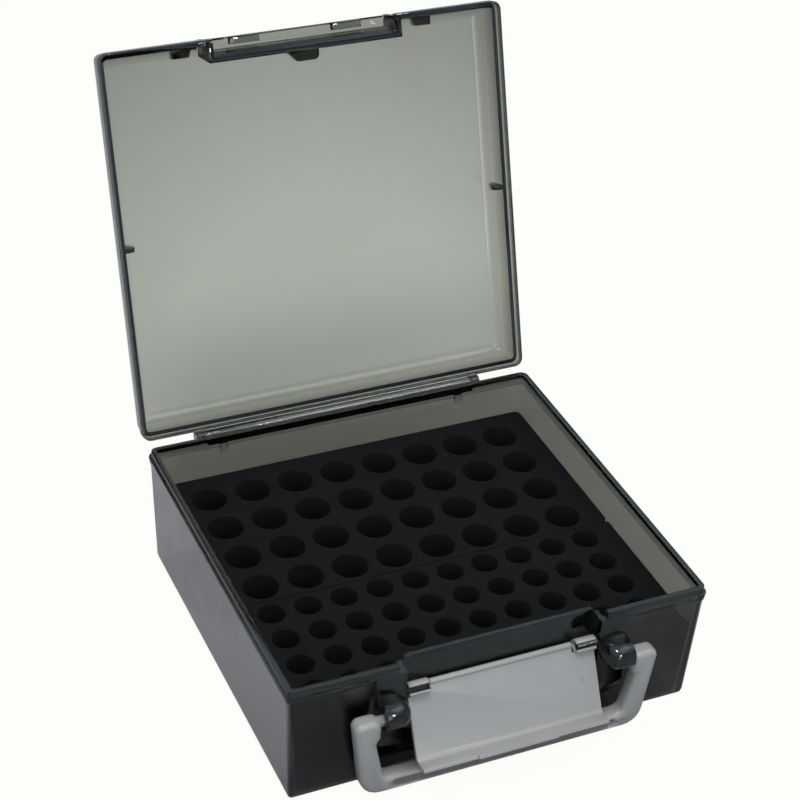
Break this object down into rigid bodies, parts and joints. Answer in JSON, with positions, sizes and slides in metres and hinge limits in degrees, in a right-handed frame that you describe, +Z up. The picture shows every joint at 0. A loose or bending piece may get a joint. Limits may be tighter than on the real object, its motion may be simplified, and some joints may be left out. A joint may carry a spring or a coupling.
{
  "type": "battery storage case",
  "caption": "Flip-lid carrying case with perforated foam inserts for cylindrical cells, a bail handle and a snap latch, stored open.",
  "frame": {"origin": "centre of the flat underside of the base", "axes": "+Z up, -Y towards the latch and the handle, +X to the right seen from the front"},
  "size_m": [0.1764, 0.2487, 0.2106],
  "materials": {
    "smoke_polystyrene": "translucent smoke grey, glossy",
    "grey_abs": "satin",
    "black_foam": "matte closed-cell foam",
    "steel_wire": "drawn"
  },
  "bodies": {
    "base": {"base_case": "smoke_polystyrene", "hinge_rod": "steel_wire", "large_cell_insert": "black_foam", "small_cell_insert": "black_foam"},
    "lid": {"lid": "smoke_polystyrene"},
    "latch": {"latch_flap": "grey_abs"},
    "handle": {"handle": "grey_abs"}
  },
  "joints": [
    {"name": "lid_hinge", "type": "hinge", "parent": "base", "child": "lid", "pos_m": [0, 0.0834, 0.0547], "axis": [1, 0, 0], "range_deg": [0, 108.4]},
    {"name": "latch_hinge", "type": "hinge", "parent": "base", "child": "latch", "pos_m": [0, -0.0787, 0.0429], "axis": [-1, 0, 0], "range_deg": [0, 152.4]},
    {"name": "handle_hinge", "type": "hinge", "parent": "base", "child": "handle", "pos_m": [0, -0.0854, 0.0376], "axis": [-1, 0, 0], "range_deg": [0, 120]}
  ]
}
